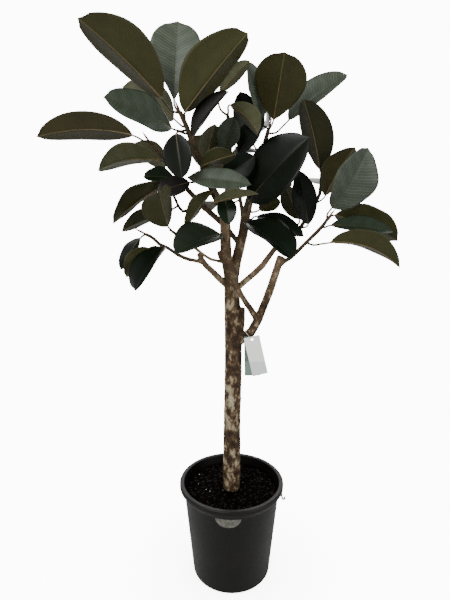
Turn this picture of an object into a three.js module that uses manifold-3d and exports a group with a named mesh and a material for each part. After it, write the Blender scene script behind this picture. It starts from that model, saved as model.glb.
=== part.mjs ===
// Potted rubber plant: a Ficus elastica grown as a small tree on a bare woody trunk, in a nursery pot.
// Millimetres, +Z up. The origin is the centre of the pot's underside, and the plant's front faces -Y.
import * as THREE from 'three';
import { mergeVertices } from 'three/addons/utils/BufferGeometryUtils.js';
import Module from 'manifold-3d';

const wasm = await Module();
wasm.setup();

// ---- Driving dimensions ----
const plantHeight = 1700; // floor to the highest leaf tip
const drawnHeight = 1700; // the height that the shoots and leaves below are drawn for

const potHeight = 317;
const potBaseRadius = 128;
const potMouthRadius = 155.5; // inside of the opening
const potRimRadius = 170; // outside of the turned-down rim
const potRimDrop = 15; // height of the rim's upright band
const potFlareDrop = 33; // the flare under the band runs into the wall this far below the top
const potWall = 2.4;
const drainRadius = 8;
const drainCircle = 85;
const drainCount = 6;

const soilBelowRim = 23;
const rootDepth = 90; // how far the trunk goes down into the soil
const trunkRadius = 28;

const leafThickness = 0.8;
const petioleRadius = 2.8;

const labelWidth = 78;
const labelHeight = 30;
const labelBelowRim = 20;
const labelThickness = 0.6;
const labelOffset = -12; // along X from the middle of the pot's front

const cardWidth = 48;
const cardLength = 125;
const cardThickness = 0.6;
const cardHoleRadius = 4;
const tieSlack = 6; // how much wider than the limb the loop of the tie is
const tieWireRadius = 0.8;

const gap = 0.3; // air between pieces that touch
const petioleGap = 0.6; // between a petiole's flat foot and the round of its shoot

// ---- Materials ----
const plastic = new THREE.MeshStandardMaterial({ color: '#2c2b29', roughness: 0.45, metalness: 0 });
const peat = new THREE.MeshStandardMaterial({ color: '#1a0f0a', roughness: 1, metalness: 0 });
const bark = new THREE.MeshStandardMaterial({ color: '#6b563c', roughness: 0.9, metalness: 0 });
const leafSkin = new THREE.MeshStandardMaterial({ color: '#2c3a2c', roughness: 0.35, metalness: 0 });
const stickerPaper = new THREE.MeshStandardMaterial({ color: '#7d7d72', roughness: 0.7, metalness: 0 });
const whiteCard = new THREE.MeshStandardMaterial({ color: '#dfe0da', roughness: 0.6, metalness: 0 });
const greenCard = new THREE.MeshStandardMaterial({ color: '#4c5a50', roughness: 0.6, metalness: 0 });
const coatedWire = new THREE.MeshStandardMaterial({ color: '#d8d8d2', roughness: 0.5, metalness: 0 });

// ---- Solids and booleans ----
function closedBody(geometry) {
  const body = geometry.clone();
  body.deleteAttribute('normal');
  body.deleteAttribute('uv');
  return mergeVertices(body, 1e-4);
}

function toSolid(geometry) {
  const body = closedBody(geometry);
  const vertProperties = new Float32Array(body.attributes.position.array);
  const triVerts = new Uint32Array(body.index.array);
  return new wasm.Manifold(new wasm.Mesh({ numProp: 3, vertProperties, triVerts }));
}

function toGeometry(solid) {
  const mesh = solid.getMesh();
  const geometry = new THREE.BufferGeometry();
  geometry.setAttribute('position', new THREE.BufferAttribute(new Float32Array(mesh.vertProperties), 3));
  geometry.setIndex(new THREE.BufferAttribute(new Uint32Array(mesh.triVerts), 1));
  return geometry;
}

const plant = new THREE.Group();

function addPiece(name, geometry, material) {
  const piece = new THREE.Mesh(geometry, material);
  piece.name = name;
  plant.add(piece);
  return piece;
}

// ---- Bending a closed cylinder along a line of stations ----
// A station is a point with its tangent, its normal and its across direction.
function station(point, tangent, normal) {
  const across = new THREE.Vector3().crossVectors(tangent, normal).normalize();
  return { point, tangent, normal, across };
}

// section(angle, index) gives how far a point of the ring lies across and along the normal.
function bendCylinder(stations, sides, section) {
  const spans = stations.length - 1;
  const geometry = new THREE.CylinderGeometry(1, 1, 1, sides, spans);
  const position = geometry.attributes.position;
  const vertex = new THREE.Vector3();
  for (let i = 0; i < position.count; i += 1) {
    vertex.fromBufferAttribute(position, i);
    const index = Math.round((vertex.y + 0.5) * spans);
    const place = stations[index];
    const isCapCentre = Math.hypot(vertex.x, vertex.z) < 0.5;
    const offset = isCapCentre ? [0, 0] : section(Math.atan2(vertex.x, vertex.z), index);
    vertex.copy(place.point);
    vertex.addScaledVector(place.across, offset[0]);
    vertex.addScaledVector(place.normal, offset[1]);
    position.setXYZ(i, vertex.x, vertex.y, vertex.z);
  }
  return closedBody(geometry);
}

// ---- Pot ----
const potFloor = potWall * 1.5;
const rimBottom = potHeight - potRimDrop;
const bodyTopRadius = potMouthRadius + potWall;

function bodyRadiusAt(height) {
  return potBaseRadius + (bodyTopRadius - potBaseRadius) * (height / potHeight);
}

function potProfile() {
  const round = 3;
  const flareBottom = potHeight - potFlareDrop;
  const flareWidth = potRimRadius - bodyRadiusAt(flareBottom);
  return [
    [0, 0],
    [potBaseRadius - round, 0],
    [potBaseRadius, round],
    [bodyRadiusAt(flareBottom), flareBottom],
    [potRimRadius - flareWidth * 0.82, THREE.MathUtils.lerp(flareBottom, rimBottom, 0.45)],
    [potRimRadius - flareWidth * 0.42, THREE.MathUtils.lerp(flareBottom, rimBottom, 0.82)],
    [potRimRadius - 1, rimBottom],
    [potRimRadius, rimBottom + 2],
    [potRimRadius, potHeight - round],
    [potRimRadius - round, potHeight],
    [potMouthRadius + 1, potHeight],
    [potMouthRadius, potHeight - 1],
    [bodyRadiusAt(potFloor) - potWall, potFloor],
    [0, potFloor],
  ].map(([x, y]) => new THREE.Vector2(x, y));
}

// A lathe turns about Y, so it is tipped up to stand along +Z.
function turned(profile, sides) {
  const geometry = new THREE.LatheGeometry(profile, sides);
  geometry.rotateX(Math.PI / 2);
  return geometry;
}

function drainPlug(index) {
  const plug = new THREE.CylinderGeometry(drainRadius, drainRadius, potFloor * 4, 16);
  const angle = (index + 0.5) * (2 * Math.PI / drainCount);
  plug.rotateX(Math.PI / 2);
  plug.translate(drainCircle * Math.cos(angle), drainCircle * Math.sin(angle), 0);
  return toSolid(plug);
}

// A small plastic hook for a drip line hangs from the rim's band at the pot's front right.
function rimHook() {
  const hookRadius = 5.5;
  const wire = 1.3;
  const hookTurn = THREE.MathUtils.degToRad(-20);
  const points = [
    [potRimRadius - 1.2, 0, rimBottom + 4],
    [potRimRadius - 1.2, 0, rimBottom - 6],
    [potRimRadius + 3, 0, rimBottom - 6 - hookRadius * 2],
    [potRimRadius + 9, 0, rimBottom - 9 - hookRadius],
    [potRimRadius + 7, 0, rimBottom - 8],
  ];
  return toSolid(limb({ points, radii: [wire, wire], sides: 8, spans: 14 }).rotateZ(hookTurn));
}

function pot() {
  let shell = toSolid(turned(potProfile(), 56));
  for (let i = 0; i < drainCount; i += 1) {
    shell = shell.subtract(drainPlug(i));
  }
  addPiece('pot', toGeometry(shell.add(rimHook())), plastic);
}

// ---- Stems: every limb is a tapered round along its curve ----
function curveThrough(points) {
  const vectors = points.map(([x, y, z]) => new THREE.Vector3(x, y, z));
  return new THREE.CatmullRomCurve3(vectors, false, 'centripetal');
}

function radiusAlong(radii, share) {
  const place = share * (radii.length - 1);
  const first = Math.min(Math.floor(place), radii.length - 2);
  return THREE.MathUtils.lerp(radii[first], radii[first + 1], place - first);
}

function limb({ points, radii, sides, spans }) {
  const curve = curveThrough(points);
  const frames = curve.computeFrenetFrames(spans, false);
  const stations = [];
  for (let i = 0; i <= spans; i += 1) {
    stations.push(station(curve.getPointAt(i / spans), frames.tangents[i], frames.normals[i]));
  }
  return bendCylinder(stations, sides, (angle, index) => {
    const radius = radiusAlong(radii, index / spans);
    return [radius * Math.sin(angle), radius * Math.cos(angle)];
  });
}

// The stems stand in the soil, so their places are counted from the soil and grow with the plant.
const soilTop = potHeight - soilBelowRim;
const drawnSoilTop = 294;
const growth = (plantHeight - soilTop) / (drawnHeight - drawnSoilTop);

function grown([x, y, z]) {
  return [x * growth, y * growth, soilTop + (z - drawnSoilTop) * growth];
}

// Each shoot: the points that it passes through, and its radius from its foot to its end.
const shoots = {
  bole: {
    points: [[0, 0, 330], [1, 0, 500], [4, 0, 680], [4, 0, 830], [0, 0, 920], [-2, 0, 965]],
    radii: [28, 27.5, 27, 26.5, 27, 22],
  },
  cut_stub: {
    points: [[4, 0, 760], [21, -3, 800], [28, -5, 850], [29, -5, 896]],
    radii: [12, 12, 11.5, 11],
  },
  left_leader: {
    points: [
      [0, 0, 900], [-6, 0, 985], [-18, -5, 1055], [-20, -10, 1105], [-21, -15, 1160], [-30, -20, 1200],
      [-50, -30, 1230], [-78, -50, 1297], [-104, -60, 1350], [-124, -70, 1405], [-142, -75, 1445],
    ],
    radii: [20, 18, 17.5, 17, 16, 13, 11, 9, 8, 6.5, 5],
  },
  centre_leader: {
    points: [
      [0, 10, 900], [8, 20, 1010], [22, 30, 1070], [36, 40, 1130], [42, 45, 1175], [62, 55, 1250],
      [85, 65, 1340], [102, 72, 1400], [110, 75, 1430],
    ],
    radii: [20, 17, 16.5, 16, 14.5, 11, 8.5, 6.5, 5],
  },
  right_limb: {
    points: [
      [4, 0, 780], [40, -5, 803], [60, -10, 822], [82, -12, 868], [111, -15, 945], [127, -20, 998],
      [143, -25, 1055],
    ],
    radii: [15, 14.5, 14, 13, 12.5, 12, 11.5],
  },
  crossing_limb: {
    points: [
      [78, -12, 855], [66, -26, 880], [32, -38, 932], [8, -36, 977], [-12, -22, 1013], [-18, -8, 1040],
    ],
    radii: [10, 9, 8.5, 8.5, 8.5, 8],
  },
  right_branch: {
    points: [
      [-2, 0, 940], [21, -6, 962], [53, -16, 992], [76, -21, 1013], [103, -20, 1043], [118, -10, 1069],
      [160, 20, 1090], [197, 50, 1119], [225, 75, 1152], [251, 90, 1195], [273, 100, 1226],
      [280, 102, 1305],
    ],
    radii: [10, 10, 9.5, 9, 8.5, 7.5, 6.5, 5.5, 5, 4.6, 4.2, 3.4],
  },
  right_twig: {
    points: [
      [138, -24, 1025], [155, -32, 1042], [168, -35, 1050], [194, -45, 1077], [224, -50, 1109],
      [250, -60, 1138], [268, -66, 1165],
    ],
    radii: [7, 6, 5.6, 5.2, 5, 4.4, 3.6],
  },
  left_limb: {
    points: [[-2, 0, 955], [-30, -10, 979], [-63, -20, 1013], [-86, -30, 1038], [-97, -35, 1065]],
    radii: [11, 10.5, 9.5, 9, 8.5],
  },
  low_left_twig: {
    points: [
      [-82, -29, 1034], [-103, -36, 1042], [-123, -42, 1046], [-151, -52, 1058], [-172, -62, 1073],
      [-188, -68, 1085], [-205, -70, 1091], [-223, -74, 1110], [-245, -79, 1122],
    ],
    radii: [6.5, 5.6, 5.2, 5, 4.6, 4.4, 4.2, 3.8, 3.4],
  },
  left_twig: {
    points: [
      [-14, -2, 1030], [-40, -20, 1040], [-60, -32, 1045], [-85, -46, 1062], [-116, -50, 1088],
      [-138, -55, 1104], [-155, -60, 1115],
    ],
    radii: [5.5, 5, 4.8, 4.6, 4.4, 4, 3.4],
  },
  left_branch: {
    points: [
      [24, 32, 1085], [2, 28, 1112], [-18, 25, 1138], [-42, 20, 1160], [-69, 15, 1183], [-100, 12, 1215],
      [-131, 10, 1246], [-160, 5, 1285], [-186, 0, 1321], [-212, -5, 1350], [-237, -10, 1380],
    ],
    radii: [8, 8, 8, 8, 7.5, 7, 6, 5.4, 4.8, 4.2, 3.4],
  },
  inner_left_twig: {
    points: [
      [-88, 13, 1203], [-110, 0, 1196], [-124, -5, 1191], [-141, -12, 1183], [-151, -20, 1191],
      [-160, -22, 1208], [-168, -22, 1228],
    ],
    radii: [4.6, 4.4, 4.2, 4, 3.8, 3.4, 3],
  },
  centre_twig: {
    points: [[-26, -18, 1180], [-14, 0, 1250], [-8, 10, 1320], [-8, 10, 1390], [-14, 5, 1455]],
    radii: [7, 6.5, 6, 5.5, 4],
  },
  back_branch: {
    points: [[32, 36, 1110], [34, 80, 1170], [24, 130, 1240], [14, 170, 1310], [10, 190, 1370]],
    radii: [7, 6, 5, 4.5, 3],
  },
  snag: {
    points: [[-20, -5, 1030], [-34, -8, 1045], [-42, -8, 1068]],
    radii: [6, 5.5, 4.5],
  },
};

const girth = trunkRadius / shoots.bole.radii[0]; // every shoot thickens with the trunk

function grownPoints(name) {
  return shoots[name].points.map(grown);
}

function shootSolid(name) {
  const isBole = name === 'bole';
  const foot = isBole ? [[0, 0, soilTop - rootDepth], [0, 0, soilTop + 6]] : [];
  const points = [...foot, ...grownPoints(name)];
  const radii = shoots[name].radii.map((radius) => radius * girth);
  const footRadii = isBole ? [trunkRadius, trunkRadius] : [];
  const spans = Math.round(points.length * 1.35);
  return toSolid(limb({ points, radii: [...footRadii, ...radii], sides: isBole ? 14 : 9, spans }));
}

function trunk() {
  let wood = shootSolid('bole');
  for (const name of Object.keys(shoots).filter((key) => key !== 'bole')) {
    wood = wood.add(shootSolid(name));
  }
  addPiece('trunk', toGeometry(wood), bark);
}

// ---- Soil: a slightly domed plug, moulded to the pot and open where the trunk stands ----
function soil() {
  const clearance = potWall + gap;
  const low = potFloor + gap;
  const edgeTop = soilTop - 4;
  const profile = [
    [0, low],
    [bodyRadiusAt(low) - clearance, low],
    [bodyRadiusAt(edgeTop) - clearance, edgeTop],
    [bodyRadiusAt(edgeTop) * 0.62, soilTop - 1],
    [0, soilTop],
  ].map(([x, y]) => new THREE.Vector2(x, y));
  const socket = new THREE.CylinderGeometry(trunkRadius + gap, trunkRadius + gap, rootDepth * 2, 28);
  socket.rotateX(Math.PI / 2);
  socket.translate(0, 0, soilTop - gap);
  addPiece('soil', toGeometry(toSolid(turned(profile, 56)).subtract(toSolid(socket))), peat);
}

// ---- Half-moon sticker on the front of the pot ----
function potLabel() {
  const top = rimBottom - labelBelowRim;
  const bottom = top - labelHeight;
  const inside = gap;
  const outside = gap + labelThickness;
  const margin = 4;
  const sleeve = [
    [bodyRadiusAt(bottom - margin) + inside, bottom - margin],
    [bodyRadiusAt(bottom - margin) + outside, bottom - margin],
    [bodyRadiusAt(top + margin) + outside, top + margin],
    [bodyRadiusAt(top + margin) + inside, top + margin],
    [bodyRadiusAt(bottom - margin) + inside, bottom - margin],
  ].map(([x, y]) => new THREE.Vector2(x, y));
  const outline = new THREE.Shape();
  outline.moveTo(-labelWidth / 2, 0);
  outline.absellipse(0, 0, labelWidth / 2, labelHeight, Math.PI, 2 * Math.PI, false);
  outline.closePath();
  const depth = potRimRadius;
  const cutter = new THREE.ExtrudeGeometry(outline, { depth, bevelEnabled: false, curveSegments: 20 });
  cutter.rotateX(Math.PI / 2);
  cutter.translate(labelOffset, 0, top);
  const sticker = toSolid(turned(sleeve, 112)).intersect(toSolid(cutter));
  addPiece('pot_label', toGeometry(sticker), stickerPaper);
}

// ---- Care card: two panels of card hung from the right limb by a wire loop ----
const tieSpot = 2; // the limb's third drawn point, where the loop hangs
const tieRadius = shoots.right_limb.radii[tieSpot] * girth + tieSlack;
const tieForward = 3.5; // the loop hangs a little forward and low on the limb
const tieDrop = 2;
const tieShift = 30; // how far along the limb the loop moves if the trunk doubles in girth
const tieAxis = new THREE.Vector3(0.72, -0.18, 0.68).normalize(); // along the limb where the loop hangs
const hangAngle = THREE.MathUtils.degToRad(40); // how far below the loop's front the card hangs

function tieCentre() {
  const [x, y, z] = grown([54, -8.5, 817]);
  const alongLimb = (girth - 1) * tieShift;
  return new THREE.Vector3(x, y - tieForward, z - tieDrop).addScaledVector(tieAxis, alongLimb);
}

function tieTurn() {
  const down = tieAxis.clone().cross(new THREE.Vector3(0, -1, 0)).normalize();
  const front = down.clone().cross(tieAxis).normalize();
  return { front, down };
}

function hangPoint() {
  const { front, down } = tieTurn();
  const point = tieCentre();
  point.addScaledVector(front, tieRadius * Math.cos(hangAngle));
  return point.addScaledVector(down, tieRadius * Math.sin(hangAngle));
}

function cardPanel(name, lean, behind, material) {
  const outline = new THREE.Shape();
  const holeInset = 9;
  outline.moveTo(-cardWidth / 2, holeInset);
  outline.lineTo(-cardWidth / 2, holeInset - cardLength);
  outline.lineTo(cardWidth / 2, holeInset - cardLength);
  outline.lineTo(cardWidth / 2, holeInset);
  outline.closePath();
  const hole = new THREE.Path();
  hole.absarc(0, 0, cardHoleRadius, 0, 2 * Math.PI, true);
  outline.holes.push(hole);
  const depth = cardThickness;
  const sheet = new THREE.ExtrudeGeometry(outline, { depth, bevelEnabled: false, curveSegments: 8 });
  sheet.rotateX(Math.PI / 2);
  const panel = addPiece(name, sheet, material);
  const point = hangPoint();
  panel.rotation.y = lean;
  panel.position.set(point.x, point.y + behind, point.z - (cardHoleRadius - tieWireRadius) / 2);
}

function careCard() {
  cardPanel('care_card_front', -0.23, 0, whiteCard);
  cardPanel('care_card_back', -0.02, cardThickness + 3 * gap, greenCard);
}

function cardTie() {
  const { front, down } = tieTurn();
  const loop = new THREE.TorusGeometry(tieRadius, tieWireRadius, 8, 28);
  loop.applyMatrix4(new THREE.Matrix4().makeBasis(front, down, tieAxis));
  const tie = addPiece('card_tie', loop, coatedWire);
  tie.position.copy(tieCentre());
}

// ---- Leaves ----
// A leaf has a round petiole that widens into a thin blade, folded along its midrib.
//   shoot, back: the petiole leaves the shoot this far before the point nearest to the blade
//   base, tip: the ends of the blade
//   half: half of the blade's width, flat
//   turn: degrees about the leaf's own line; 0 has the upper side facing the plant's back (+Y),
//         180 its front, and 90 the right hand of someone in front who looks along the leaf
//   fold: degrees that each half of the blade is raised
//   bow: how far the midrib arches towards the upper side
//   wide: where the blade is widest, as a share of its length
const leaves = [
  {
    shoot: 'left_leader', back: 0, base: [-190, -80, 1478], tip: [-365, -200, 1624],
    half: 80, turn: 45, fold: 28, bow: 10,
  },
  {
    shoot: 'left_leader', back: 4, base: [-160, -50, 1475], tip: [-152, 0, 1694],
    half: 70, turn: 180, fold: 12, bow: 4, wide: 0.66,
  },
  {
    shoot: 'left_leader', back: 12, base: [-128, -88, 1440], tip: [34, -170, 1603],
    half: 80, turn: -45, fold: 36, bow: 6,
  },
  {
    shoot: 'left_leader', back: 20, base: [-162, -92, 1400], tip: [-316, -190, 1454],
    half: 64, turn: 136, fold: 10, bow: 8,
  },
  {
    shoot: 'left_branch', back: 0, base: [-276, -40, 1391], tip: [-537, -60, 1383],
    half: 54, turn: 50, fold: 18, bow: 26,
  },
  {
    shoot: 'left_branch', back: 10, base: [-210, -30, 1325], tip: [-362, -100, 1290],
    half: 50, turn: 58, fold: 24, bow: 20,
  },
  {
    shoot: 'left_leader', back: 30, base: [-108, -85, 1378], tip: [-11, -114, 1486],
    half: 54, turn: -122, fold: 24, bow: 4,
  },
  {
    shoot: 'left_leader', back: 10, base: [-150, -108, 1384], tip: [-134, -125, 1268],
    half: 42, turn: 170, fold: 20, bow: 4,
  },
  {
    shoot: 'left_branch', back: 10, base: [-165, -30, 1275], tip: [-250, -50, 1278],
    half: 32, turn: 140, fold: 20, bow: 4,
  },
  {
    shoot: 'inner_left_twig', back: 5, base: [-188, -60, 1255], tip: [-316, -150, 1151],
    half: 45, turn: 60, fold: 30, bow: 10,
  },
  {
    shoot: 'inner_left_twig', back: 0, base: [-192, -20, 1182], tip: [-312, -70, 1128],
    half: 38, turn: 55, fold: 20, bow: 6,
  },
  {
    shoot: 'left_twig', back: 0, base: [-178, -95, 1142], tip: [-179, -230, 1231],
    half: 58, turn: -40, fold: 32, bow: 4,
  },
  {
    shoot: 'left_leader', back: 20, base: [-118, -75, 1262], tip: [-205, -100, 1232],
    half: 34, turn: 150, fold: 10, bow: 4,
  },
  {
    shoot: 'left_leader', back: 20, base: [-56, -55, 1240], tip: [-132, -80, 1138],
    half: 40, turn: 65, fold: 20, bow: 4,
  },
  {
    shoot: 'left_leader', back: 10, base: [-122, -88, 1274], tip: [48, -130, 1252],
    half: 37, turn: -145, fold: 14, bow: 4,
  },
  {
    shoot: 'left_leader', back: 20, base: [-52, -90, 1207], tip: [62, -196, 1226],
    half: 26, turn: -60, fold: 25, bow: 4,
  },
  {
    shoot: 'left_leader', back: 20, base: [-22, -54, 1225], tip: [-10, -85, 1148],
    half: 29, turn: 180, fold: 15, bow: 4,
  },
  {
    shoot: 'left_leader', back: 20, base: [-36, -62, 1122], tip: [-152, -170, 1074],
    half: 62, turn: 130, fold: 26, bow: 8,
  },
  {
    shoot: 'low_left_twig', back: 0, base: [-262, -60, 1110], tip: [-322, -60, 1019],
    half: 26, turn: 150, fold: 20, bow: 4,
  },
  {
    shoot: 'low_left_twig', back: 26, base: [-232, -100, 1084], tip: [-290, -135, 1007],
    half: 36, turn: 55, fold: 25, bow: 4,
  },
  {
    shoot: 'low_left_twig', back: 20, base: [-189, -92, 1085], tip: [-254, -195, 979],
    half: 50, turn: 134, fold: 30, bow: 8,
  },
  {
    shoot: 'left_leader', back: 10, base: [-80, -14, 1322], tip: [-50, 0, 1428],
    half: 44, turn: 20, fold: 15, bow: 4,
  },
  {
    shoot: 'centre_twig', back: 10, base: [18, -2, 1345], tip: [88, -35, 1440],
    half: 40, turn: -140, fold: 15, bow: 4,
  },
  {
    shoot: 'left_leader', back: 20, base: [-88, -74, 1304], tip: [8, -118, 1330],
    half: 34, turn: -50, fold: 20, bow: 4,
  },
  {
    shoot: 'centre_twig', back: 20, base: [-30, -30, 1275], tip: [62, -48, 1335],
    half: 38, turn: 180, fold: 10, bow: 4,
  },
  {
    shoot: 'centre_twig', back: 10, base: [-26, -22, 1352], tip: [2, -52, 1438],
    half: 34, turn: 180, fold: 15, bow: 4,
  },
  {
    shoot: 'centre_twig', back: 0, base: [-8, -32, 1472], tip: [64, -120, 1382],
    half: 36, turn: -50, fold: 30, bow: 14,
  },
  {
    shoot: 'centre_twig', back: 0, base: [-35, 10, 1513], tip: [45, -45, 1580],
    half: 28, turn: -40, fold: 28, bow: 4,
  },
  {
    shoot: 'centre_leader', back: 0, base: [86, 72, 1445], tip: [38, 0, 1595],
    half: 42, turn: 138, fold: 20, bow: 6,
  },
  {
    shoot: 'centre_leader', back: 4, base: [120, 40, 1446], tip: [132, -90, 1587],
    half: 75, turn: 8, fold: 15, bow: 8, wide: 0.56,
  },
  {
    shoot: 'centre_leader', back: 14, base: [172, 104, 1458], tip: [342, 84, 1582],
    half: 56, turn: -140, fold: 30, bow: 8,
  },
  {
    shoot: 'right_branch', back: 0, base: [268, 70, 1308], tip: [195, -20, 1490],
    half: 58, turn: 44, fold: 26, bow: 10,
  },
  {
    shoot: 'centre_leader', back: 20, base: [50, 5, 1215], tip: [200, -115, 1374],
    half: 84, turn: -146, fold: 14, bow: 12,
  },
  {
    shoot: 'right_branch', back: 20, base: [285, 65, 1231], tip: [352, 0, 1365],
    half: 52, turn: -30, fold: 20, bow: 8,
  },
  {
    shoot: 'right_twig', back: 0, base: [275, -75, 1192], tip: [358, -100, 1350],
    half: 76, turn: 150, fold: 18, bow: 10,
  },
  {
    shoot: 'right_branch', back: 10, base: [232, 40, 1145], tip: [192, 0, 1302],
    half: 38, turn: 180, fold: 15, bow: 6,
  },
  {
    shoot: 'right_branch', back: 30, base: [212, 80, 1160], tip: [160, 60, 1262],
    half: 34, turn: 0, fold: 18, bow: 4,
  },
  {
    shoot: 'right_twig', back: 4, base: [290, -45, 1174], tip: [470, -60, 1101],
    half: 62, turn: -50, fold: 20, bow: 12,
  },
  {
    shoot: 'right_twig', back: 16, base: [272, -82, 1146], tip: [437, -110, 1128],
    half: 42, turn: -125, fold: 15, bow: 6,
  },
  {
    shoot: 'right_twig', back: 50, base: [268, -105, 1100], tip: [435, -180, 1038],
    half: 52, turn: -60, fold: 25, bow: 28,
  },
  {
    shoot: 'centre_leader', back: 20, base: [40, 8, 1153], tip: [165, -95, 1053],
    half: 72, turn: -128, fold: 26, bow: 8,
  },
  {
    shoot: 'centre_leader', back: 20, base: [75, 60, 1170], tip: [215, 10, 1110],
    half: 40, turn: -135, fold: 15, bow: 6,
  },
  {
    shoot: 'centre_leader', back: 10, base: [80, 25, 1188], tip: [140, 0, 1216],
    half: 30, turn: -30, fold: 15, bow: 4,
  },
  {
    shoot: 'centre_leader', back: 30, base: [62, 95, 1400], tip: [22, 60, 1530],
    half: 42, turn: 175, fold: 12, bow: 6,
  },
  {
    shoot: 'centre_leader', back: 10, base: [115, 115, 1445], tip: [140, 310, 1500],
    half: 60, turn: -90, fold: 20, bow: 16,
  },
  {
    shoot: 'back_branch', back: 0, base: [15, 215, 1395], tip: [60, 400, 1420],
    half: 60, turn: 80, fold: 20, bow: 18,
  },
  {
    shoot: 'back_branch', back: 20, base: [60, 190, 1300], tip: [210, 320, 1270],
    half: 58, turn: -100, fold: 20, bow: 14,
  },
  {
    shoot: 'back_branch', back: 20, base: [-10, 160, 1215], tip: [-80, 330, 1180],
    half: 58, turn: 80, fold: 20, bow: 14,
  },
  {
    shoot: 'back_branch', back: 30, base: [-20, 190, 1325], tip: [-150, 236, 1420],
    half: 60, turn: 20, fold: 20, bow: 12,
  },
  {
    shoot: 'left_leader', back: 40, base: [-165, -15, 1440], tip: [-320, 50, 1540],
    half: 52, turn: 40, fold: 20, bow: 16,
  },
  {
    shoot: 'left_branch', back: 10, base: [-196, 24, 1318], tip: [-318, 120, 1382],
    half: 42, turn: 30, fold: 20, bow: 16,
  },
  {
    shoot: 'right_branch', back: 0, base: [290, 150, 1270], tip: [350, 330, 1290],
    half: 56, turn: -90, fold: 20, bow: 16,
  },
];

const petioleSpans = 3;
const bladeShares = [0, 0.06, 0.18, 0.34, 0.5, 0.66, 0.82, 0.94, 1];
const bladeSides = 6;
const back = new THREE.Vector3(0, 1, 0);

function bladeShape(share, wide) {
  const lean = Math.log(0.5) / Math.log(wide);
  return Math.sin(Math.PI * share ** lean) ** 0.7;
}

function nearestOnShoot(curve, target) {
  const steps = 120;
  let best = 0;
  let least = Infinity;
  for (let i = 0; i <= steps; i += 1) {
    const distance = curve.getPointAt(i / steps).distanceTo(target);
    if (distance < least) {
      least = distance;
      best = i / steps;
    }
  }
  return best;
}

// Where the petiole leaves its shoot, and the direction in which it sets out.
function petioleFoot(leaf, base) {
  const curve = curveThrough(grownPoints(leaf.shoot));
  const setBack = (leaf.back * growth) / curve.getLength();
  const share = Math.max(nearestOnShoot(curve, base) - setBack, 0);
  const tangent = curve.getTangentAt(share);
  const out = base.clone().sub(curve.getPointAt(share));
  out.addScaledVector(tangent, -out.dot(tangent)).normalize();
  const radius = radiusAlong(shoots[leaf.shoot].radii, share) * girth;
  return { point: curve.getPointAt(share).addScaledVector(out, radius + petioleGap), out };
}

function upperSide(line, turn) {
  const away = back.clone().addScaledVector(line, -back.dot(line)).normalize();
  const rightHand = new THREE.Vector3().crossVectors(away, line).normalize();
  const angle = THREE.MathUtils.degToRad(turn);
  return away.multiplyScalar(Math.cos(angle)).addScaledVector(rightHand, Math.sin(angle));
}

function leafCurves(leaf) {
  const base = new THREE.Vector3(...grown(leaf.base));
  const tip = new THREE.Vector3(...grown(leaf.tip));
  const line = tip.clone().sub(base).normalize();
  const normal = upperSide(line, leaf.turn);
  const middle = base.clone().lerp(tip, 0.5).addScaledVector(normal, 2 * leaf.bow * growth);
  const midrib = new THREE.QuadraticBezierCurve3(base, middle, tip);
  const foot = petioleFoot(leaf, base);
  const reach = foot.point.distanceTo(base) / 3;
  const petiole = new THREE.CubicBezierCurve3(
    foot.point,
    foot.point.clone().addScaledVector(foot.out, reach),
    base.clone().addScaledVector(midrib.getTangentAt(0), -reach),
    base,
  );
  return { petiole, midrib, normal };
}

function leafStations({ petiole, midrib, normal }) {
  const places = [];
  for (let i = 0; i < petioleSpans; i += 1) {
    places.push([petiole, i / petioleSpans]);
  }
  bladeShares.forEach((share) => places.push([midrib, share]));
  const stations = [];
  const carried = normal.clone();
  for (const [curve, share] of places.reverse()) {
    const tangent = curve.getTangentAt(share);
    carried.addScaledVector(tangent, -carried.dot(tangent)).normalize();
    stations.unshift(station(curve.getPointAt(share), tangent, carried.clone()));
  }
  return stations;
}

function leafGeometry(leaf) {
  const fold = THREE.MathUtils.degToRad(leaf.fold);
  const sideways = Math.sin(Math.PI / 3);
  return bendCylinder(leafStations(leafCurves(leaf)), bladeSides, (angle, index) => {
    const place = index - petioleSpans;
    const share = place < 0 ? 0 : bladeShares[place];
    const flat = place > 0 ? 1 : 0;
    const half = place > 0 ? leaf.half * growth * bladeShape(share, leaf.wide ?? 0.5) : 0;
    const rib = THREE.MathUtils.lerp(petioleRadius, leafThickness, share);
    const corner = Math.round(angle / (Math.PI / 3));
    if (corner === 0) {
      return [0, flat ? leafThickness / 2 : rib];
    }
    if (Math.abs(corner) === 3) {
      return [0, -rib];
    }
    const across = Math.max(half * Math.cos(fold), sideways * rib);
    const raised = flat * half * Math.sin(fold);
    const thick = flat ? leafThickness / 2 : rib / 2;
    const upper = Math.abs(corner) === 1 ? thick : -thick;
    return [Math.sign(corner) * across, raised + upper];
  });
}

function addLeaves() {
  leaves.forEach((leaf, index) => {
    addPiece(`leaf_${String(index + 1).padStart(2, '0')}`, leafGeometry(leaf), leafSkin);
  });
}

pot();
soil();
trunk();
potLabel();
careCard();
cardTie();
addLeaves();

export default plant;
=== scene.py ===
# %% [markdown]
# # A potted rubber plant
# A rubber plant grown as a small tree: a bare, mottled trunk that forks into limbs, large leathery leaves,
# dark soil and a plastic nursery pot. The engineering model is loaded first and never moved. The leaves, the
# trunk and the soil take their places from it. The pot, the hook and the bud sheaths repeat its sizes.

# %% Load the frame
import math
import random

import bmesh
import bpy
from mathutils import Matrix, Vector, noise


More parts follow.
